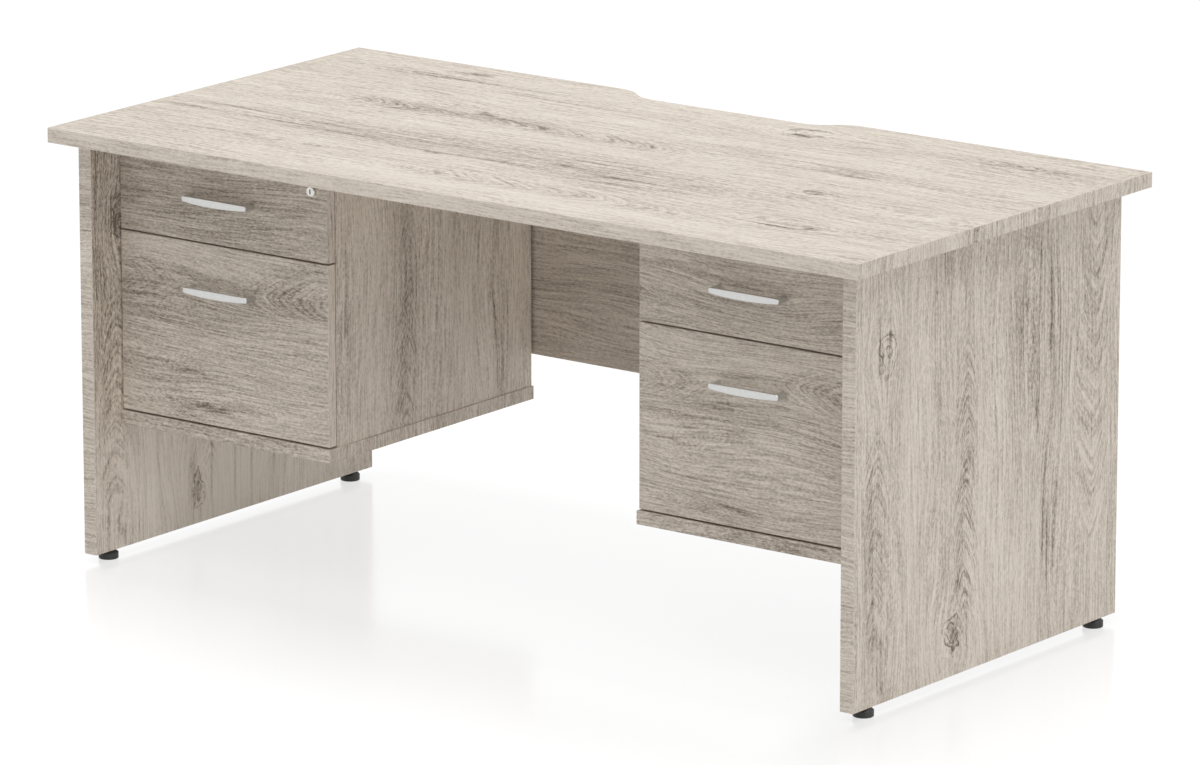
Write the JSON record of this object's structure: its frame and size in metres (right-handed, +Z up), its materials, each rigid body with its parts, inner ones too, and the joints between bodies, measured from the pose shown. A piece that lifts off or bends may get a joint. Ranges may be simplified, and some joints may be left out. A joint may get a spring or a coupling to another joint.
{
  "type": "pedestal desk",
  "caption": "Panel-end office desk with scalloped back edge, modesty panel and fixed drawer pedestals with bow handles, cam locks and levelling feet.",
  "frame": {"origin": "on the floor below the middle of the desktop", "axes": "+X to the right of a person seated at the desk, -Y towards that person, +Z up"},
  "size_m": [1.6, 0.8, 0.73],
  "materials": {
    "oak_board": "matt grey oak laminate on chipboard",
    "oak_edging": "matt oak print on edge band",
    "drawer_board": "matt light grey board",
    "handle_metal": "satin silver",
    "lock_metal": "satin nickel",
    "slide_steel": "bright zinc",
    "zinc_fixings": "zinc",
    "foot_plastic": "matt black"
  },
  "bodies": {
    "frame": {"desktop": "oak_board", "desktop_edging": "oak_edging", "left_end_panel": "oak_board", "right_end_panel": "oak_board", "end_panel_edging": "oak_edging", "modesty_panel": "oak_board", "cam_fittings": "zinc_fixings", "foot_inserts": "zinc_fixings", "pedestal_outer_sides": "oak_board", "left_pedestal_inner_side": "oak_board", "right_pedestal_inner_side": "oak_board", "left_pedestal_back": "oak_board", "right_pedestal_back": "oak_board", "left_pedestal_base": "oak_board", "right_pedestal_base": "oak_board", "pedestal_front_rails": "oak_board", "pedestal_rear_rails": "oak_board", "pedestal_screws": "zinc_fixings", "slide_outers": "slide_steel"},
    "front_left_foot": {"front_left_foot": "foot_plastic"},
    "front_right_foot": {"front_right_foot": "foot_plastic"},
    "back_left_foot": {"back_left_foot": "foot_plastic"},
    "back_right_foot": {"back_right_foot": "foot_plastic"},
    "left_upper_drawer": {"left_upper_drawer_front": "oak_board", "left_upper_drawer_sides": "drawer_board", "left_upper_drawer_back": "drawer_board", "left_upper_drawer_base": "drawer_board", "left_upper_handle": "handle_metal", "left_upper_slide_inners": "slide_steel", "left_lock_housing": "lock_metal"},
    "left_upper_slide_middles": {"left_upper_slide_middles": "slide_steel"},
    "left_lower_drawer": {"left_lower_drawer_front": "oak_board", "left_lower_drawer_sides": "drawer_board", "left_lower_drawer_back": "drawer_board", "left_lower_drawer_base": "drawer_board", "left_lower_handle": "handle_metal", "left_lower_slide_inners": "slide_steel", "left_file_rails": "slide_steel"},
    "left_lower_slide_middles": {"left_lower_slide_middles": "slide_steel"},
    "left_lock": {"left_lock_plug": "lock_metal", "left_lock_cam": "lock_metal"},
    "right_upper_drawer": {"right_upper_drawer_front": "oak_board", "right_upper_drawer_sides": "drawer_board", "right_upper_drawer_back": "drawer_board", "right_upper_drawer_base": "drawer_board", "right_upper_handle": "handle_metal", "right_upper_slide_inners": "slide_steel", "right_lock_housing": "lock_metal"},
    "right_upper_slide_middles": {"right_upper_slide_middles": "slide_steel"},
    "right_lower_drawer": {"right_lower_drawer_front": "oak_board", "right_lower_drawer_sides": "drawer_board", "right_lower_drawer_back": "drawer_board", "right_lower_drawer_base": "drawer_board", "right_lower_handle": "handle_metal", "right_lower_slide_inners": "slide_steel", "right_file_rails": "slide_steel"},
    "right_lower_slide_middles": {"right_lower_slide_middles": "slide_steel"},
    "right_lock": {"right_lock_plug": "lock_metal", "right_lock_cam": "lock_metal"}
  },
  "joints": [
    {"name": "front_left_foot_level", "type": "slide", "parent": "frame", "child": "front_left_foot", "axis": [0, 0, -1], "range_m": [0, 0.012]},
    {"name": "front_right_foot_level", "type": "slide", "parent": "frame", "child": "front_right_foot", "axis": [0, 0, -1], "range_m": [0, 0.012]},
    {"name": "back_left_foot_level", "type": "slide", "parent": "frame", "child": "back_left_foot", "axis": [0, 0, -1], "range_m": [0, 0.012]},
    {"name": "back_right_foot_level", "type": "slide", "parent": "frame", "child": "back_right_foot", "axis": [0, 0, -1], "range_m": [0, 0.012]},
    {"name": "left_upper_drawer_slide", "type": "slide", "parent": "frame", "child": "left_upper_drawer", "axis": [0, -1, 0], "range_m": [0, 0.43]},
    {"name": "left_upper_middle_slide", "type": "slide", "parent": "frame", "child": "left_upper_slide_middles", "axis": [0, -1, 0], "range_m": [0, 0.215]},
    {"name": "left_lower_drawer_slide", "type": "slide", "parent": "frame", "child": "left_lower_drawer", "axis": [0, -1, 0], "range_m": [0, 0.43]},
    {"name": "left_lower_middle_slide", "type": "slide", "parent": "frame", "child": "left_lower_slide_middles", "axis": [0, -1, 0], "range_m": [0, 0.215]},
    {"name": "left_lock_turn", "type": "hinge", "parent": "left_upper_drawer", "child": "left_lock", "pos_m": [-0.3415, -0.28, 0.667], "axis": [0, -1, 0], "range_deg": [-90, 0]},
    {"name": "right_upper_drawer_slide", "type": "slide", "parent": "frame", "child": "right_upper_drawer", "axis": [0, -1, 0], "range_m": [0, 0.43]},
    {"name": "right_upper_middle_slide", "type": "slide", "parent": "frame", "child": "right_upper_slide_middles", "axis": [0, -1, 0], "range_m": [0, 0.215]},
    {"name": "right_lower_drawer_slide", "type": "slide", "parent": "frame", "child": "right_lower_drawer", "axis": [0, -1, 0], "range_m": [0, 0.43]},
    {"name": "right_lower_middle_slide", "type": "slide", "parent": "frame", "child": "right_lower_slide_middles", "axis": [0, -1, 0], "range_m": [0, 0.215]},
    {"name": "right_lock_turn", "type": "hinge", "parent": "right_upper_drawer", "child": "right_lock", "pos_m": [0.7105, -0.28, 0.667], "axis": [0, -1, 0], "range_deg": [-90, 0]}
  ],
  "couplings": [
    {"joint": "left_upper_middle_slide", "follows": "left_upper_drawer_slide", "ratio": 0.5},
    {"joint": "left_lower_middle_slide", "follows": "left_lower_drawer_slide", "ratio": 0.5},
    {"joint": "right_upper_middle_slide", "follows": "right_upper_drawer_slide", "ratio": 0.5},
    {"joint": "right_lower_middle_slide", "follows": "right_lower_drawer_slide", "ratio": 0.5}
  ]
}
